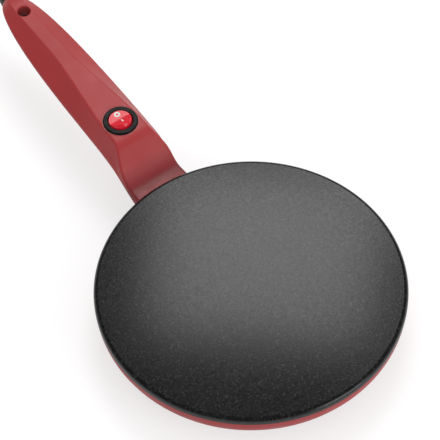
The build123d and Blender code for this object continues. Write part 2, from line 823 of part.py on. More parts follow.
def make_pilot_lamp():
    roof = rocker_middle - rocker_wall + lamp_offset * tan(radians(rocker_tilt))
    half = lamp_length / 2
    lamp = cross_rod(lamp_radius, -half, half, lamp_offset, roof - lamp_radius - 0.2)
    return at_pivot(fillet(lamp.edges().filter_by(GeomType.CIRCLE), lamp_radius * 0.8))


def make_contact_lever():
    half = lever_width / 2
    strip = block((-half, half), (-lever_half_length, lever_half_length), (0, lever_thickness))
    strip += rod(contact_radius, -contact_height, 0, 0, -contact_place)
    return Pos(0, switch_place, lever_pivot_height) * Rot(lever_tilt, 0, 0) * strip


# ---------------------------------------------------------------- inner leads
def flag_receptacle(name, side):
    """A receptacle on a switch terminal, its crimp barrel pointing sideways. Also the barrel's mouth."""
    place = switch_tab_places()[name][0]
    low = barrel_bottom - tab_length - 0.3
    high = low + tab_length - 0.4
    half_x, half_y = tab_width / 2 + receptacle_wall, tab_thickness / 2 + receptacle_wall
    sleeve = block((-half_x, half_x), (place - half_y, place + half_y), (low, high)) - switch_tab(name)
    height = (low + high) / 2
    mouth = side * (half_x + barrel_crimp_length)
    ends = sorted((side * half_x, mouth))
    return sleeve + cross_rod(barrel_crimp_radius, *ends, place, height), (mouth, place, height)


def straight_receptacle(tab, out):
    """A receptacle on a terminal that points along Y. Also its crimp barrel's mouth."""
    (x_low, x_high), (y_low, y_high), (z_low, z_high) = tab
    tip = y_high if out > 0 else y_low
    inner, outer = tip - out * (tab_length - 1.4), tip + out * 0.3
    mouth = outer + out * barrel_crimp_length
    wall = receptacle_wall
    x, z = (x_low + x_high) / 2, (z_low + z_high) / 2
    sleeve = block((x_low - wall, x_high + wall), sorted((inner, outer)), (z_low - wall, z_high + wall))
    barrel = long_rod(barrel_crimp_radius, *sorted((outer, mouth)), x, z)
    return sleeve - block(*tab) + barrel, (x, mouth, z)


def make_crimps_and_leads():
    """The receptacles, the splice and the insulated leads, by node name."""
    common, common_mouth = flag_receptacle("common", 1)
    load, load_mouth = flag_receptacle("load", 1)
    lamp, lamp_mouth = flag_receptacle("lamp", -1)
    warm_in, warm_in_mouth = straight_receptacle(thermostat_tab(1), 1)
    warm_out, warm_out_mouth = straight_receptacle(thermostat_tab(-1), -1)
    live_end, live_end_mouth = straight_receptacle(element_tab(1), 1)
    neutral_end, neutral_end_mouth = straight_receptacle(element_tab(-1), 1)
    splice_x, splice_y = splice_place
    splice_z = cord_height - splice_drop
    splice = long_rod(splice_radius, splice_y, splice_y + splice_length, splice_x, splice_z)
    tail = cord_height
    fuse_x, fuse_y, fuse_z = fuse_place
    fuse_back, fuse_front = fuse_y - fuse_length / 2, fuse_y + fuse_length / 2
    rim = plate_radius
    low = grip_bottom_height
    split = hang_hole_place + hang_hole_radius + hang_tube_wall + 0.9
    routes = {
        "lead_live": [
            (1.4, cord_tail_end, tail), (1.4, split, tail), (5.4, split - 1.6, tail - 0.1),
            (8.4, hang_hole_place + 1.0, tail - 0.4), (8.8, 250.0, tail - 1.0), (9.6, 226.0, tail - 1.6),
            (10.2, 196.0, tail - 2.2), (11.4, 168.0, tail - 4.0),
            (12.0, switch_place + 6.0, common_mouth[2] + 0.8), (10.8, switch_place, common_mouth[2]),
            common_mouth,
        ],
        "lead_neutral_in": [
            (-1.4, cord_tail_end, tail), (-1.4, split, tail), (-5.4, split - 1.6, tail - 0.1),
            (-8.4, hang_hole_place + 1.0, tail - 0.4), (-8.8, 250.0, tail - 1.0), (-9.6, 226.0, tail - 1.6),
            (splice_x, splice_y + splice_length + 5.0, splice_z),
            (splice_x, splice_y + splice_length, splice_z),
        ],
        "lead_neutral_out": [
            (splice_x - 1.3, splice_y, splice_z), (splice_x - 1.3, splice_y - 5.0, splice_z),
            (-11.6, 166.0, low + 6.1), (-9.8, 150.0, low + 2.1), (-8.4, 137.5, low - 2.0),
            (-2.2, 130.2, 20.8), (-2.2, 118.0, 18.4), (-2.4, rim + 3.0, 18.0), (-7.0, rim - 7.0, 21.5),
            (-element_half_gap, rim - 12.0, element_height), neutral_end_mouth,
        ],
        "lead_lamp": [
            (splice_x + 1.3, splice_y, splice_z), (splice_x + 1.3, splice_y - 4.0, splice_z),
            (-9.4, 168.0, tail - 3.0), (-10.8, lamp_mouth[1] + 6.0, lamp_mouth[2] + 1.6),
            (-10.6, lamp_mouth[1], lamp_mouth[2]), lamp_mouth,
        ],
        "lead_switched": [
            load_mouth, (10.6, load_mouth[1], load_mouth[2]), (8.8, 133.4, low - 1.0), (2.3, 129.4, 20.6),
            (2.2, 118.0, 18.4), (2.4, rim + 2.0, 18.2), (2.8, rim - 16.0, 22.0), (2.2, rim - 38.0, 22.6),
            (0.0, 38.0, 24.6), (0.0, 23.0, warm_in_mouth[2]), warm_in_mouth,
        ],
        "lead_thermostat": [
            warm_out_mouth, (0.0, -22.0, warm_out_mouth[2]), (8.0, -29.5, 26.4), (20.0, -28.0, 25.2),
            (30.0, -19.0, 24.8), (fuse_x, fuse_back - 8.0, fuse_z), (fuse_x, fuse_back, fuse_z),
        ],
        "lead_fuse": [
            (fuse_x, fuse_front, fuse_z), (fuse_x, fuse_front + 6.0, fuse_z), (31.0, rim - 56.0, 22.8),
            (24.0, rim - 36.0, 22.2), (21.0, rim - 22.0, 22.6), (17.4, rim - 12.5, 25.0),
            (element_half_gap, rim - 11.0, element_height), live_end_mouth,
        ],
    }
    nodes = {name: tube_along(points, core_radius)[0] for name, points in routes.items()}
    nodes["crimp_connectors"] = [common, load, lamp, warm_in, warm_out, live_end, neutral_end]
    nodes["neutral_splice"] = splice
    return nodes


def make_thermal_fuse():
    x, y, z = fuse_place
    return long_rod(fuse_radius, y - fuse_length / 2, y + fuse_length / 2, x, z)


def make_fuse_sleeve():
    x, y, z = fuse_place
    start, end = y - fuse_length / 2 + 1.0, y + fuse_length / 2 - 1.0
    return long_rod(fuse_radius + sleeve_wall, start, end, x, z) - long_rod(fuse_radius, start, end, x, z)


# ---------------------------------------------------------------- supply cord
def make_cord_bush():
    """Moulded strain relief: a flange inside the handle, a neck, a collar and a grooved taper."""
    flange_end = handle_end - bush_flange_depth
    inner_end = handle_end - tip_block
    bush = long_rod(bush_flange_radius, flange_end - bush_flange, flange_end, 0, cord_height)
    bush += long_rod(bush_neck_radius, inner_end, handle_end + bush_fit, 0, cord_height)
    collar_end = handle_end + bush_fit + bush_collar
    bush += long_rod(bush_collar_radius, handle_end + bush_fit, collar_end, 0, cord_height)
    bush += long_rod(bush_collar_radius - 0.3, collar_end, bush_end, 0, cord_height, bush_tip_radius)
    pitch = (bush_end - collar_end) / (bush_grooves + 1)
    for index in range(1, bush_grooves + 1):
        middle = collar_end + index * pitch
        taper = (middle - collar_end) / (bush_end - collar_end)
        radius = between(bush_collar_radius - 0.3, bush_tip_radius, taper)
        start, end = middle - pitch / 5, middle + pitch / 5
        groove = long_rod(radius + 1, start, end, 0, cord_height)
        bush -= groove - long_rod(radius - bush_groove_depth * (1 - taper / 2), start, end, 0, cord_height)
    return bush - long_rod(cord_radius + cord_fit, inner_end, bush_end, 0, cord_height)


def make_cord_clamp():
    y_range = (clamp_start, clamp_start + clamp_length)
    low = cord_height - cradle_drop + clamp_gap
    clamp = block((-clamp_half_width, clamp_half_width), y_range, (low, clamp_top))
    clamp = fillet(clamp.edges().filter_by(Axis.Y).group_by(Axis.Z)[-1], clamp_rounding)
    clamp -= long_rod(cord_radius + cord_fit, *y_range, 0, cord_height)
    for x, y in clamp_screw_places:
        clamp -= rod(clamp_screw_radius + screw_fit, 0, 2 * grip_top_height, x, y)
    return clamp


def make_clamp_screws():
    screws = []
    sizes = (clamp_screw_radius, clamp_screw_head_radius, clamp_screw_head, clamp_screw_length)
    for x, y in clamp_screw_places:
        screws.append(Pos(x, y, clamp_top) * Rot(180, 0, 0) * screw(*sizes, 0, 0, 0))
    return screws


coil_half_width = coil_columns * cord_radius
coil_height = 2 * cord_radius * coil_layers
outer_turn = coil_radius + (coil_columns - 1) * cord_radius
coil_x, coil_y = coil_side, bush_end + coil_run
coil_near, coil_far = coil_x - outer_turn, coil_x + outer_turn
cord_route = [(0.0, bush_end, cord_height), (0.0, bush_end + cord_straight, cord_height)]
for run, share in cord_fall:
    cord_route.append((coil_near * run / coil_run, bush_end + run, between(cord_radius, cord_height, share)))
cord_route.append((coil_near, coil_y, cord_radius))
first_run, middle_run, last_run = plug_lead_runs
lead_end_x = coil_far + plug_lead_shift
plug_route = [
    (coil_far, coil_y, coil_height - cord_radius),
    (coil_far, coil_y - first_run, coil_height - cord_radius),
    (lead_end_x, coil_y - first_run - middle_run, plug_height / 2),
    (lead_end_x, coil_y - first_run - middle_run - last_run, plug_height / 2),
]


def make_cord_coil():
    """The outer shape of the wound part of the cord: a ring with rounded edges."""
    coil = ring(coil_radius - coil_half_width, coil_radius + coil_half_width, 0, coil_height)
    coil = fillet(coil.edges().filter_by(GeomType.CIRCLE), cord_radius * 0.8)
    return Pos(coil_x, coil_y, 0) * coil


def make_plug():
    x, y, z = plug_route[-1]
    face = y - plug_nose - plug_length
    sections = []
    for share in (0.0, 0.6, 1.0):
        frame = Plane(origin=(x, face + plug_length * share, z), x_dir=(1, 0, 0), z_dir=(0, 1, 0))
        width, height = plug_width - share**2 * plug_taper[0], plug_height - share**2 * plug_taper[1]
        sections.append(frame * RectangleRounded(width, height, plug_corner))
    plug = loft(sections) + long_rod(bush_collar_radius, face + plug_length, y, x, z, bush_tip_radius)
    blades = []
    tip, half, half_width = face - blade_length, blade_thickness / 2, blade_width / 2
    for side in (-1, 1):
        middle = x + side * blade_spacing / 2
        blade = block((middle - half, middle + half), (tip, face), (z - half_width, z + half_width))
        blade = fillet(blade.edges().filter_by(Axis.X).group_by(Axis.Y)[0], blade_width / 4)
        blades.append(blade - cross_rod(blade_hole_radius, middle - 2, middle + 2, tip + blade_hole_inset, z))
    return plug, blades


# ---------------------------------------------------------------- all nodes
handle_parts = (
    handle_solid(0.0, handle_end),
    handle_solid(handle_wall, handle_end - tip_block),
    above_seam(),
)
power_cord, power_path = tube_along(cord_route, cord_radius)
plug_lead, plug_path = tube_along(plug_route, cord_radius)
plug_body, plug_blades = make_plug()

nodes = {
    "cooking_plate": make_cooking_plate(),
    "heating_element": make_heating_element(),
    "element_terminals": make_element_terminals(),
    "element_clips": make_element_clips(),
    "clip_screws": make_clip_screws(),
    "thermostat": make_thermostat(),
    "thermostat_tabs": [block(*thermostat_tab(side)) for side in (-1, 1)],
    "thermostat_strap": make_thermostat_strap(),
    "strap_screws": make_strap_screws(),
    "thermal_fuse": make_thermal_fuse(),
    "fuse_sleeve": make_fuse_sleeve(),
    "heat_shield": make_heat_shield(),
    "plate_screws": make_plate_screws(),
    "base_housing": make_base_housing(*handle_parts),
    "foot_ring": foot_ring(),
    "handle_cover": make_handle_cover(*handle_parts),
    "cover_screws": make_cover_screws(),
    "switch_housing": make_switch_housing(),
    "switch_terminals": make_switch_terminals(),
    "switch_rocker": make_switch_rocker(),
    "rocker_plunger": make_rocker_plunger(),
    "plunger_spring": make_plunger_spring(),
    "pilot_lamp": make_pilot_lamp(),
    "contact_lever": make_contact_lever(),
    "cord_bush": make_cord_bush(),
    "cord_tail": long_rod(cord_radius, cord_tail_end, bush_end, 0, cord_height),
    "cord_clamp": make_cord_clamp(),
    "clamp_screws": make_clamp_screws(),
    "power_cord": power_cord,
    "cord_coil": make_cord_coil(),
    "plug_lead": plug_lead,
    "plug_body": plug_body,
    "plug_blades": plug_blades,
}
nodes.update(make_crimps_and_leads())

for name, shape in nodes.items():
    pieces = shape if isinstance(shape, list) else [shape]
    solids = [solid for piece in pieces for solid in piece.solids()]
    export_step(Compound(children=solids), f"parts/{name}.step")

for label, points, path in (("power_cord", cord_route, power_path), ("plug_lead", plug_route, plug_path)):
    radii = [round(radius, 1) for radius in route_radii(points)]
    volume = nodes[label].volume
    print(label, "length", round(path.length, 1), "radii", radii, "volume", round(volume, 1),
          "section times length", round(pi * cord_radius**2 * path.length, 1))
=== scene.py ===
"""The electric crepe maker's looks: its free cord, finishes and fine trim, on a white stage."""

import math

import bmesh
import bpy
from mathutils import Matrix, Vector
from mathutils.bvhtree import BVHTree


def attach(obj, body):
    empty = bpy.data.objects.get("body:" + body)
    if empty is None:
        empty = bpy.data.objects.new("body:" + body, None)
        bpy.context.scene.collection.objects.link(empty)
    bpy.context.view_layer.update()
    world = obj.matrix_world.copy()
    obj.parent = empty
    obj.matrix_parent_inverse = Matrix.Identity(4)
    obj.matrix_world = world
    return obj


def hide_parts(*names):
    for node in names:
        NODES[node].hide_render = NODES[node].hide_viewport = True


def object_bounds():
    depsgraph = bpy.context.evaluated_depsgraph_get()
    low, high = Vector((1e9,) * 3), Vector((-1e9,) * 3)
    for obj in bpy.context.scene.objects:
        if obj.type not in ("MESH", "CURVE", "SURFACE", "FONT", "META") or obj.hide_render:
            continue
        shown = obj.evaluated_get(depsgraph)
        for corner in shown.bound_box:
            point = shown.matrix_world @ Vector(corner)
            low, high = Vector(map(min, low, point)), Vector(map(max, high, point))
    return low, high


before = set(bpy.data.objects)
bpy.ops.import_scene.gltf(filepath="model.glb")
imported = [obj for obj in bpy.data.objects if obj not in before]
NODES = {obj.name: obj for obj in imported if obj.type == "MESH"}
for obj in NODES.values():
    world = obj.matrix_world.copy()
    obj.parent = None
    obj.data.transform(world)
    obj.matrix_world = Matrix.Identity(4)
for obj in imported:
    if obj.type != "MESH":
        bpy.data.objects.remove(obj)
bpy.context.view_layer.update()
MM = 0.001


# ---------------------------------------------------------------- camera

CAMERA_TURN = math.radians(-34.408)
CAMERA_HEIGHT = math.radians(54.650)
CAMERA_ROLL = math.radians(-1.302)
CAMERA_DISTANCE = 1.93370
CAMERA_AIM = Vector((0.014601, 0.054335, 0.030))
CAMERA_SEES = (0.1, 20.0)  # nearest and furthest, in metres
SENSOR = 36.0
LENS = 245.45


def make_camera():
    """A long lens, above and to the left of the plate, as a product shot is taken."""
    turn, height, roll = CAMERA_TURN, CAMERA_HEIGHT, CAMERA_ROLL
    level = math.cos(height)
    back = Vector((math.sin(turn) * level, -math.cos(turn) * level, math.sin(height)))
    right = Vector((math.cos(turn), math.sin(turn), 0.0))
    up = back.cross(right)
    rolled_right = math.cos(roll) * right + math.sin(roll) * up
    rolled_up = math.cos(roll) * up - math.sin(roll) * right
    data = bpy.data.cameras.new("camera")
    data.sensor_width, data.lens = SENSOR, LENS
    data.clip_start, data.clip_end = CAMERA_SEES
    camera = bpy.data.objects.new("camera", data)
    bpy.context.scene.collection.objects.link(camera)
    axes = Matrix((rolled_right, rolled_up, back)).transposed().to_4x4()
    camera.matrix_world = Matrix.Translation(CAMERA_AIM + back * CAMERA_DISTANCE) @ axes
    bpy.context.scene.camera = camera


make_camera()


# ---------------------------------------------------------------- cord

# Millimetres, and degrees round the coil from where the cord reaches it.
CORD_DIAMETER = 6.0
CORD_OUT = [
    (0, 310.5, 39.6), (0, 323.5, 39.6), (1.64, 346.5, 31.55), (2.74, 370.5, 16.18), (3.88, 395.5, 5.56),
]
CORD_TO_PLUG = [(77, 406, 9), (77.6, 391, 8), (77.6, 378, 8)]
COIL_CENTRE = (41.0, 420.0)
COIL_RADII = (36.0, 30.0)
COIL_HEIGHTS = (3.0, 9.0)
COIL_TURNS = 3.5
COIL_TURN_POINTS = 16
COIL_MOVES = {"in": (265.0, 330.0), "up": (565.0, 625.0), "out": (895.0, 955.0)}


def share(value, low, high):
    """A smooth step from 0 to 1 while the value goes from low to high."""
    t = min(1.0, max(0.0, (value - low) / (high - low)))
    return t * t * (3 - 2 * t)


def coil_points():
    """Three and a half turns, two abreast and two high, from the cord's arrival to the plug's lead."""
    outer, inner = COIL_RADII
    low, high = COIL_HEIGHTS
    # The middle of a span of an order 3 spline lies inside its control point by this ratio.
    swell = 4 / (3 + math.cos(math.tau / COIL_TURN_POINTS))
    steps = round(COIL_TURNS * COIL_TURN_POINTS)
    points = []
    for step in range(steps + 1):
        run = 360 * COIL_TURNS * step / steps
        drawn = {name: share(run, start, end) for name, (start, end) in COIL_MOVES.items()}
        radius = swell * (outer + (inner - outer) * (drawn["in"] - drawn["out"]))
        angle = math.pi - math.radians(run)
        x = COIL_CENTRE[0] + radius * math.cos(angle)
        y = COIL_CENTRE[1] + radius * math.sin(angle)
        points.append((x, y, low + (high - low) * drawn["up"]))
    return points


def make_cord():
    """The whole flexible lead as one smooth line: out of its bush, down, round the coil, to the plug."""
    points = CORD_OUT + coil_points() + CORD_TO_PLUG
    curve = bpy.data.curves.new("mains_cord", "CURVE")
    curve.dimensions = "3D"
    curve.resolution_u = 8
    # The curve's box counts a point's radius as metres, so the radius is small and the bevel large.
    curve.bevel_depth = CORD_DIAMETER / 2
    curve.bevel_resolution = 6
    curve.use_fill_caps = True
    spline = curve.splines.new("NURBS")
    spline.points.add(len(points) - 1)
    for place, point in zip(spline.points, points):
        place.co = (*[c * MM for c in point], 1.0)
        place.radius = MM
    spline.order_u = 3
    spline.use_endpoint_u = True
    cord = bpy.data.objects.new("mains_cord", curve)
    bpy.context.scene.collection.objects.link(cord)
    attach(cord, "base")
    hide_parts("power_cord", "cord_coil", "plug_lead")
    return cord


CORD = make_cord()


# ---------------------------------------------------------------- materials

BEVEL_SAMPLES = 6
WEAR_PATCH_MM = 3.0
WEAR_WOBBLE = 0.02  # how far the edge of a worn patch wanders, in pointiness


class Look:
    """One procedural finish: a principled shader and the textures that drive it."""

    def __init__(self, name, colour, roughness, metallic=0.0, specular=0.5, **more):
        self.material = bpy.data.materials.new(name)
        self.material.use_nodes = True
        self.tree = self.material.node_tree
        self.shader = self.tree.nodes["Principled BSDF"]
        self.colour = colour
        self.set("Base Color", (*colour, 1.0))
        self.set("Roughness", roughness)
        self.set("Metallic", metallic)
        self.set("Specular IOR Level", specular)
        for socket, value in more.items():
            self.set(socket.replace("_", " "), value)
        self.place = self.tree.nodes.new("ShaderNodeTexCoord").outputs["Object"]
        self.normal = None

    def set(self, socket, value):
        """A constant on one of the shader's own sockets."""
        self.shader.inputs[socket].default_value = value

    def node(self, kind, inputs=None, **settings):
        """A new node. Its inputs are other nodes' outputs or constants."""
        made = self.tree.nodes.new(kind)
        for key, value in settings.items():
            setattr(made, key, value)
        for key, value in (inputs or {}).items():
            if isinstance(value, bpy.types.NodeSocket):
                self.tree.links.new(value, made.inputs[key])
            else:
                made.inputs[key].default_value = value
        return made

    def drive(self, socket, output):
        """A texture's output on one of the shader's sockets."""
        self.tree.links.new(output, self.shader.inputs[socket])

    def stretched(self, stretch):
        """The object's own coordinates, drawn out along an axis, as brush marks and weaves need."""
        if stretch is None:
            return self.place
        return self.node("ShaderNodeMapping", {"Vector": self.place, "Scale": stretch}).outputs["Vector"]

    def noise(self, size_mm, detail=3.0, rough=0.55, stretch=None):
        """A cloudy field between 0 and 1 whose features are about size_mm across."""
        inputs = {
            "Vector": self.stretched(stretch), "Scale": 1000.0 / size_mm,
            "Detail": detail, "Roughness": rough,
        }
        return self.node("ShaderNodeTexNoise", inputs).outputs["Fac"]

    def between(self, field, low, high, to_low=0.0, to_high=1.0):
        """The field's stretch from low to high, mapped to a new range and clamped."""
        inputs = {
            "Value": field, "From Min": low, "From Max": high, "To Min": to_low, "To Max": to_high,
        }
        return self.node("ShaderNodeMapRange", inputs, clamp=True).outputs["Result"]

    def mixed(self, field, first, second):
        """The first colour where the field is 0, the second where it is 1."""
        made = self.node("ShaderNodeMix", data_type="RGBA")
        self.tree.links.new(field, made.inputs["Factor"])
        colours = [s for s in made.inputs if s.type == "RGBA"]
        for socket, value in zip(colours, (first, second)):
            if isinstance(value, bpy.types.NodeSocket):
                self.tree.links.new(value, socket)
            else:
                socket.default_value = (*value, 1.0)
        return [s for s in made.outputs if s.type == "RGBA"][0]

    def tinted(self, field, second, low=0.35, high=0.65, first=None):
        """Base colour that drifts towards a second one where the field is high."""
        start = self.colour if first is None else first
        result = self.mixed(self.between(field, low, high), start, second)
        self.drive("Base Color", result)
        return result

    def polished(self, field, lowest, highest, low=0.3, high=0.7):
        """Roughness that wanders between two values, as handling and moulding leave it."""
        self.drive("Roughness", self.between(field, low, high, lowest, highest))

    def relief(self, field, depth_mm, strength=1.0):
        """A bump of a real depth, laid over any that is there already."""
        inputs = {"Height": field, "Distance": depth_mm * MM, "Strength": strength}
        if self.normal is not None:
            inputs["Normal"] = self.normal
        self.normal = self.node("ShaderNodeBump", inputs).outputs["Normal"]
        self.drive("Normal", self.normal)

    def soft_edges(self, radius_mm):
        """Edges that catch the light as if they had a small radius."""
        bevel = self.node("ShaderNodeBevel", {"Radius": radius_mm * MM}, samples=BEVEL_SAMPLES)
        self.normal = bevel.outputs["Normal"]
        self.drive("Normal", self.normal)

    def worn(self, colour_from, worn_colour, low, high):
        """Lighter colour on the proud edges, where handling rubs them."""
        sharp = self.node("ShaderNodeNewGeometry").outputs["Pointiness"]
        wobble = self.between(self.noise(WEAR_PATCH_MM), 0.3, 0.7, -WEAR_WOBBLE, WEAR_WOBBLE)
        broken = self.node("ShaderNodeMath", {0: sharp, 1: wobble}, operation="ADD").outputs["Value"]
        self.drive("Base Color", self.mixed(self.between(broken, low, high), colour_from, worn_colour))


# Painted shade: the red plastic is darker and duller on the neck beside the plate, where shade falls.
# Lengths along the handle, in metres.
NECK_PAINTED_SHADE_RED = (0.20, 0.014, 0.016)
NECK_SHADE_RISE, NECK_SHADE_FALL = (0.080, 0.097), (0.107, 0.119)


def painted_neck_shade(look):
    """A mask of painted shade: one on the neck beside the plate, falling to nothing on the ramp and round
    the dish.
    """
    along = look.node("ShaderNodeSeparateXYZ", {"Vector": look.place}).outputs["Y"]
    rise = look.between(along, *NECK_SHADE_RISE)
    fall = look.between(along, *NECK_SHADE_FALL, 1.0, 0.0)
    return look.node("ShaderNodeMath", {0: rise, 1: fall}, operation="MULTIPLY").outputs["Value"]


def red_plastic():
    """The moulded housing: satin, with a faint drift of colour, painted shade on the neck, a fine grain
    and slightly rubbed edges.
    """
    look = Look("red_moulded_plastic", (0.385, 0.025, 0.028), 0.46, specular=0.47)
    look.soft_edges(0.5)
    tint = look.tinted(look.noise(42.0, detail=2.0), (0.415, 0.030, 0.033), 0.3, 0.7)
    # painted shade: the colour turns to a darker red on the neck beside the plate
    tint = look.mixed(painted_neck_shade(look), tint, NECK_PAINTED_SHADE_RED)
    look.worn(tint, (0.42, 0.06, 0.055), 0.53, 0.66)
    look.polished(look.noise(16.0, detail=4.0), 0.42, 0.52)
    look.relief(look.noise(0.55, detail=2.0), 0.012, 0.6)
    look.relief(look.noise(9.0, detail=1.0), 0.05, 0.35)
    return look


def nonstick():
    """The plate's sprayed coating: near black, with pale specks, a pebbled grain and a wandering gloss."""
    look = Look("nonstick_coating", (0.006, 0.006, 0.007), 0.22, specular=0.38)
    speckle = look.noise(1.6, rough=0.6)
    drift = look.between(look.noise(24.0), 0.3, 0.7)
    tint = look.mixed(drift, (0.0055, 0.0055, 0.006), (0.008, 0.008, 0.0085))
    look.tinted(speckle, (0.032, 0.032, 0.033), 0.52, 0.70, first=tint)
    look.polished(look.noise(2.2, detail=4.0, rough=0.65), 0.18, 0.27, 0.32, 0.68)
    look.relief(look.noise(1.1, rough=0.6), 0.040, 0.65)
    look.relief(look.noise(6.0, detail=2.0), 0.06, 0.3)
    return look


def metal(name, colour, roughness, grain_mm=0.4, stretch=None, tint=None):
    """Bare metal: a cloudy tint, and a grain that stretch draws out along an axis."""
    look = Look(name, colour, roughness, metallic=1.0)
    cloud_mm, brush_mm, depth_mm = 14 * grain_mm, 3 * grain_mm, 0.01
    second = tuple(0.72 * c for c in colour) if tint is None else tint
    look.tinted(look.noise(cloud_mm), second, 0.35, 0.75)
    look.polished(look.noise(brush_mm, stretch=stretch), 0.8 * roughness, 1.3 * roughness)
    look.relief(look.noise(grain_mm, detail=2.0, stretch=stretch), depth_mm, 0.5)
    return look


def moulded(
    name, colour, roughness, second=None, specular=0.5, grain_mm=0.5, depth_mm=0.01, edge_mm=0.0, **more,
):
    """A plain moulding: its colour drifts to a second one, or to a slightly lighter one of its own."""
    look = Look(name, colour, roughness, specular=specular, **more)
    if edge_mm:
        look.soft_edges(edge_mm)
    cloud_mm, gloss_mm = 12.0, 4.0
    change = tuple(min(1.0, 1.25 * c + 0.004) for c in colour) if second is None else second
    look.tinted(look.noise(cloud_mm), change, 0.35, 0.7)
    look.polished(look.noise(gloss_mm), 0.88 * roughness, 1.15 * roughness)
    look.relief(look.noise(grain_mm, detail=2.0), depth_mm, 0.5)
    return look


def woven(name, colour):
    """A woven sleeve, its threads drawn out along it."""
    look = Look(name, colour, 0.75, Sheen_Weight=0.3)
    look.tinted(look.noise(1.2, detail=2.0, stretch=(1.0, 4.0, 1.0)), tuple(0.8 * c for c in colour))
    look.polished(look.noise(0.8, detail=2.0), 0.65, 0.85)
    look.relief(look.noise(0.35, detail=1.0, stretch=(1.0, 3.0, 1.0)), 0.05, 0.8)
    return look


def clear_glass():
    """The pilot lamp's bulb."""
    look = Look("lamp_glass", (1.0, 0.72, 0.55), 0.05, Transmission_Weight=0.85, IOR=1.5)
    look.tinted(look.noise(2.0), (1.0, 0.62, 0.42))
    look.polished(look.noise(1.0), 0.04, 0.10)
    look.relief(look.noise(1.5), 0.02, 0.3)
    return look


def rocker_red():
    """The rocker's glossy cap, which lets a little of the pilot lamp's light through."""
    look = Look(
        "rocker_red_gloss", (0.64, 0.010, 0.024), 0.24, specular=0.36,
        Coat_Weight=0.10, Coat_Roughness=0.08,
        Emission_Color=(1.0, 0.03, 0.05, 1.0), Emission_Strength=0.055,
    )
    look.soft_edges(0.25)
    look.tinted(look.noise(5.0, detail=2.0), (0.70, 0.014, 0.030), 0.35, 0.7)
    look.polished(look.noise(3.0), 0.17, 0.27)
    look.relief(look.noise(2.0, detail=2.0), 0.01, 0.3)
    return look


LOOKS = {
    "red_plastic": red_plastic(),
    "nonstick_plate": nonstick(),
    "rocker_red": rocker_red(),
    "switch_black": moulded(
        "switch_black_plastic", (0.006, 0.006, 0.006), 0.40, (0.009, 0.009, 0.009),
        specular=0.15, edge_mm=0.25,
    ),
    "black_rubber": moulded(
        "black_rubber_matt", (0.022, 0.022, 0.022), 0.62, grain_mm=0.8, depth_mm=0.02, edge_mm=0.3,
    ),
    "cord_black": moulded("cord_black_pvc", (0.018, 0.018, 0.019), 0.42, grain_mm=1.2, depth_mm=0.02),
    "white_nylon": moulded("white_nylon", (0.70, 0.69, 0.64), 0.45),
    "ceramic_white": moulded(
        "glazed_ceramic", (0.78, 0.75, 0.68), 0.22, (0.70, 0.66, 0.58), Coat_Weight=0.5,
    ),
    "splice_cap": moulded("splice_cap_nylon", (0.62, 0.60, 0.52), 0.5),
    "lead_brown": moulded("lead_brown_pvc", (0.16, 0.060, 0.022), 0.45),
    "lead_blue": moulded("lead_blue_pvc", (0.020, 0.10, 0.38), 0.45),
    "lead_white": moulded("lead_white_silicone", (0.70, 0.70, 0.68), 0.55),
    "glass_sleeve": woven("woven_glass_sleeve", (0.72, 0.69, 0.58)),
    "lamp_glass": clear_glass(),
    "element_steel": metal("element_sheath", (0.33, 0.31, 0.29), 0.42, tint=(0.25, 0.19, 0.15)),
    "tinned_brass": metal("tinned_brass", (0.72, 0.70, 0.64), 0.32, tint=(0.62, 0.56, 0.42)),
    "zinc_steel": metal("zinc_steel", (0.62, 0.63, 0.64), 0.38, stretch=(1.0, 6.0, 1.0)),
    "screw_steel": metal("screw_steel", (0.50, 0.50, 0.51), 0.30),
    "fuse_metal": metal("fuse_can", (0.70, 0.70, 0.71), 0.28, stretch=(1.0, 1.0, 6.0)),
    "shield_aluminium": metal(
        "shield_aluminium", (0.74, 0.75, 0.76), 0.36, grain_mm=0.7, stretch=(8.0, 1.0, 1.0),
    ),
    "spring_steel": metal("spring_wire", (0.48, 0.48, 0.49), 0.28),
    "contact_brass": metal("contact_brass", (0.70, 0.50, 0.22), 0.30, tint=(0.55, 0.36, 0.15)),
    "plug_brass": metal("plug_blade_brass", (0.76, 0.66, 0.42), 0.26, stretch=(1.0, 8.0, 1.0)),
}

# Painted highlight: a paler, glossier copy of the red plastic for the bezel's bead, so that it looks lit.
BEAD_PAINTED_HIGHLIGHT = moulded("red_plastic_painted_highlight", (0.46, 0.09, 0.09), 0.32, (0.52, 0.14, 0.14))
CORD.data.materials.append(LOOKS["cord_black"].material)


def dress_cad():
    """Every CAD node takes the finish of its material slot."""
    for name, node in NODES.items():
        for slot in node.material_slots:
            key = slot.material.name.split(".")[0]
            if key not in LOOKS:
                raise RuntimeError(f"node {name} has the unknown finish {key}")
            slot.material = LOOKS[key].material


dress_cad()


# ---------------------------------------------------------------- printed marks and fine trim

# Millimetres. A mark's place is that of its middle, seen from above.
PRINT_DEPTH = 0.08
OFF_MARK, OFF_RADII = (0.6, 150.0), (2.1, 1.5, 0.9)
ON_MARK, ON_SIZE = (0.4, 143.5), (0.9, 2.6)
ON_STEPS = 6  # rows of faces in half the length of the mark
MARK_SIDES, LIP_SIDES, SEAL_SIDES = 48, 96, 256
DRAPE_FROM = 0.2  # metres: the height that a mark is dropped from
SWITCH_PLACE, GRIP_TOP = 145.2, 49.6
BEZEL_RADIUS = 11.6  # the recess that the switch's bezel sits in
BEZEL_LIP = [(0.0, -0.25), (0.0, 0.22), (0.175, 0.40), (0.42, 0.36), (0.70, -0.25)]  # out of it and up
SEAL_RADII = (99.62, 99.95)
SEAL_HEIGHTS = (26.7, 27.79)
SEAL_CHAMFER = 0.12


def drape(tree, x, y, lift):
    """The point of the surface below (x, y), raised by lift, all in millimetres."""
    hit = tree.ray_cast(Vector((x * MM, y * MM, DRAPE_FROM)), Vector((0, 0, -1)))[0]
    return hit + Vector((0, 0, lift * MM))


def ring_points(radius, count):
    """Points round a circle about the origin."""
    angles = [i * math.tau / count for i in range(count)]
    return [(radius * math.cos(angle), radius * math.sin(angle)) for angle in angles]


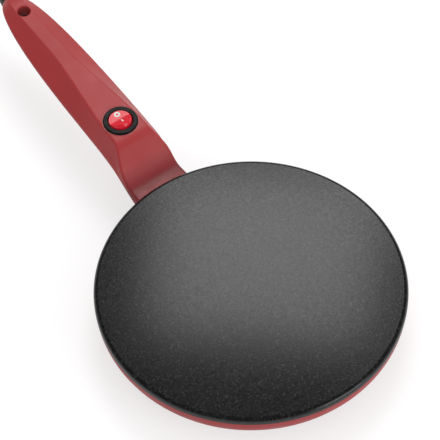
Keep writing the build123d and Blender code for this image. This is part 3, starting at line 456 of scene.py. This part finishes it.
def join_rows(mesh, near, far, closed):
    """Faces between two rows of points."""
    for i in range(len(near) if closed else len(near) - 1):
        j = (i + 1) % len(near)
        mesh.faces.new((near[i], near[j], far[j], far[i]))


def mesh_piece(name, mesh, material, body, smooth):
    """A new piece of the scene from a bmesh, which it uses up."""
    data = bpy.data.meshes.new(name)
    mesh.to_mesh(data)
    mesh.free()
    for face in data.polygons:
        face.use_smooth = smooth
    piece = bpy.data.objects.new(name, data)
    bpy.context.scene.collection.objects.link(piece)
    data.materials.append(material)
    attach(piece, body)
    return piece


def printed_mark(name, place, rows, closed):
    """A thin raised print that follows the rocker's surface. rows are lines of (x, y) about place."""
    tree = BVHTree.FromObject(NODES["switch_rocker"], bpy.context.evaluated_depsgraph_get())
    mesh = bmesh.new()
    grid = [
        [mesh.verts.new(drape(tree, place[0] + x, place[1] + y, PRINT_DEPTH)) for x, y in row]
        for row in rows
    ]
    for near, far in zip(grid, grid[1:]):
        join_rows(mesh, near, far, closed)
    bmesh.ops.recalc_face_normals(mesh, faces=mesh.faces)
    if sum(face.normal.z for face in mesh.faces) < 0:
        bmesh.ops.reverse_faces(mesh, faces=mesh.faces)
    piece = mesh_piece(name, mesh, LOOKS["white_nylon"].material, "rocker", smooth=False)
    depth = piece.modifiers.new("depth", "SOLIDIFY")
    depth.thickness = 1.5 * PRINT_DEPTH * MM  # it reaches into the rocker by half of what stands proud
    depth.offset = -1.0


def turned_band(name, profile, centre, sides, material):
    """A smooth band whose section, of (radius, height) corners, turns about an upright axis at centre."""
    mesh = bmesh.new()
    rings = [
        [
            mesh.verts.new(((centre[0] + x) * MM, (centre[1] + y) * MM, height * MM))
            for x, y in ring_points(radius, sides)
        ]
        for radius, height in profile
    ]
    for near, far in zip(rings, rings[1:] + rings[:1]):
        join_rows(mesh, near, far, closed=True)
    bmesh.ops.recalc_face_normals(mesh, faces=mesh.faces)
    mesh_piece(name, mesh, material, "base", smooth=True)


def make_marks():
    """The O and I that such rockers carry, printed in white."""
    off_rows = [ring_points(radius, MARK_SIDES) for radius in OFF_RADII]
    printed_mark("rocker_off_mark", OFF_MARK, off_rows, closed=True)
    half_width, half_length = ON_SIZE[0] / 2, ON_SIZE[1] / 2
    on_rows = [
        [(x, half_length * step / ON_STEPS) for step in range(-ON_STEPS, ON_STEPS + 1)]
        for x in (-half_width, 0.0, half_width)
    ]
    printed_mark("rocker_on_mark", ON_MARK, on_rows, closed=False)


def make_bezel_lip():
    """A fine bead in the handle round the bezel's recess, in a paler red that paints a highlight on it."""
    profile = [(BEZEL_RADIUS + out, GRIP_TOP + up) for out, up in BEZEL_LIP]
    turned_band("bezel_lip", profile, (0.0, SWITCH_PLACE), LIP_SIDES, BEAD_PAINTED_HIGHLIGHT.material)


def make_plate_seal():
    """The dark seal between the plate's skirt and the dish's lip."""
    inner, outer = SEAL_RADII
    low, high = SEAL_HEIGHTS
    profile = [
        (inner, high), (outer, high),
        (outer, low + SEAL_CHAMFER), (outer - SEAL_CHAMFER, low), (inner, low),
    ]
    rubber = LOOKS["black_rubber"].material
    turned_band("plate_seal", profile, (0.0, 0.0), SEAL_SIDES, rubber)


make_marks()
make_bezel_lip()
make_plate_seal()


# ---------------------------------------------------------------- stage and light

FLOOR_WIDTH = 8.0
FLOOR_GAP = 0.0002  # metres that the floor lies below the object, so that their faces don't meet
FLOOR_WHITE = 0.44
FLOOR_GLOW = 0.63
WORLD_LIGHT = 0.70
WORLD_OVERHEAD = 0.10
WORLD_FADE = (0.04, 0.22)  # rise of a ray over which the white backdrop gives way to the dim ceiling
LAMP_AIM = Vector((0.0, 0.06, 0.03))


def seen_rays(tree):
    """One where the stage is looked at, straight or in a reflection or through glass, and not lit from."""
    path = tree.nodes.new("ShaderNodeLightPath")
    seen = path.outputs["Is Camera Ray"]
    for kind in ("Is Glossy Ray", "Is Transmission Ray"):
        either = tree.nodes.new("ShaderNodeMath")
        either.operation = "MAXIMUM"
        tree.links.new(seen, either.inputs[0])
        tree.links.new(path.outputs[kind], either.inputs[1])
        seen = either.outputs[0]
    return seen


def floor_white():
    """A diffuse white that takes shadows, with a glow of its own where it is looked at."""
    material = bpy.data.materials.new("floor_white")
    material.use_nodes = True
    tree = material.node_tree
    tree.nodes.clear()
    white = tree.nodes.new("ShaderNodeBsdfDiffuse")
    white.inputs["Color"].default_value = (FLOOR_WHITE, FLOOR_WHITE, FLOOR_WHITE, 1)
    glow = tree.nodes.new("ShaderNodeEmission")
    glow.inputs["Color"].default_value = (1, 1, 1, 1)
    strength = tree.nodes.new("ShaderNodeMath")
    strength.operation = "MULTIPLY"
    strength.inputs[1].default_value = FLOOR_GLOW
    both = tree.nodes.new("ShaderNodeAddShader")
    out = tree.nodes.new("ShaderNodeOutputMaterial")
    tree.links.new(seen_rays(tree), strength.inputs[0])
    tree.links.new(strength.outputs[0], glow.inputs["Strength"])
    tree.links.new(white.outputs[0], both.inputs[0])
    tree.links.new(glow.outputs[0], both.inputs[1])
    tree.links.new(both.outputs[0], out.inputs["Surface"])
    return material


def make_floor():
    """A wide floor that looks white where it lies open and still takes the object's shadow."""
    mesh = bmesh.new()
    bmesh.ops.create_grid(mesh, x_segments=2, y_segments=2, size=FLOOR_WIDTH / 2)
    data = bpy.data.meshes.new("floor")
    mesh.to_mesh(data)
    mesh.free()
    floor = bpy.data.objects.new("floor", data)
    floor.location.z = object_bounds()[0].z - FLOOR_GAP
    bpy.context.scene.collection.objects.link(floor)
    data.materials.append(floor_white())


def make_world():
    """A white backdrop round the horizon under a dimmer ceiling, and even light from all round."""
    world = bpy.data.worlds.new("studio")
    bpy.context.scene.world = world
    world.use_nodes = True
    tree = world.node_tree
    tree.nodes.clear()
    direction = tree.nodes.new("ShaderNodeTexCoord")
    height = tree.nodes.new("ShaderNodeSeparateXYZ")
    tree.links.new(direction.outputs["Generated"], height.inputs[0])
    backdrop = tree.nodes.new("ShaderNodeMapRange")
    ranges = (*WORLD_FADE, 1.0, WORLD_OVERHEAD)
    for socket, value in zip(("From Min", "From Max", "To Min", "To Max"), ranges):
        backdrop.inputs[socket].default_value = value
    tree.links.new(height.outputs["Z"], backdrop.inputs["Value"])
    strength = tree.nodes.new("ShaderNodeMix")
    strength.inputs["A"].default_value = WORLD_LIGHT
    tree.links.new(seen_rays(tree), strength.inputs["Factor"])
    tree.links.new(backdrop.outputs["Result"], strength.inputs["B"])
    background = tree.nodes.new("ShaderNodeBackground")
    background.inputs["Color"].default_value = (1, 1, 1, 1)
    tree.links.new(strength.outputs["Result"], background.inputs["Strength"])
    out = tree.nodes.new("ShaderNodeOutputWorld")
    tree.links.new(background.outputs[0], out.inputs["Surface"])


def softbox(name, towards, distance, size, radiance):
    """A square soft lamp of one brightness, in a direction from the plate."""
    data = bpy.data.lights.new(name, "AREA")
    data.shape = "SQUARE"
    data.size = size
    data.energy = radiance * math.pi * size * size
    lamp = bpy.data.objects.new(name, data)
    away = Vector(towards).normalized()
    lamp.location = LAMP_AIM + away * distance
    lamp.rotation_mode = "QUATERNION"
    lamp.rotation_quaternion = away.to_track_quat("Z", "Y")
    bpy.context.scene.collection.objects.link(lamp)


make_floor()
make_world()
softbox("key", towards=(0.40, 0.47, 0.80), distance=1.6, size=0.74, radiance=4.80)
softbox("fill", towards=(0.30, -0.95, 0.32), distance=1.8, size=0.9, radiance=3.6)

bpy.context.scene.view_settings.view_transform = "Standard"
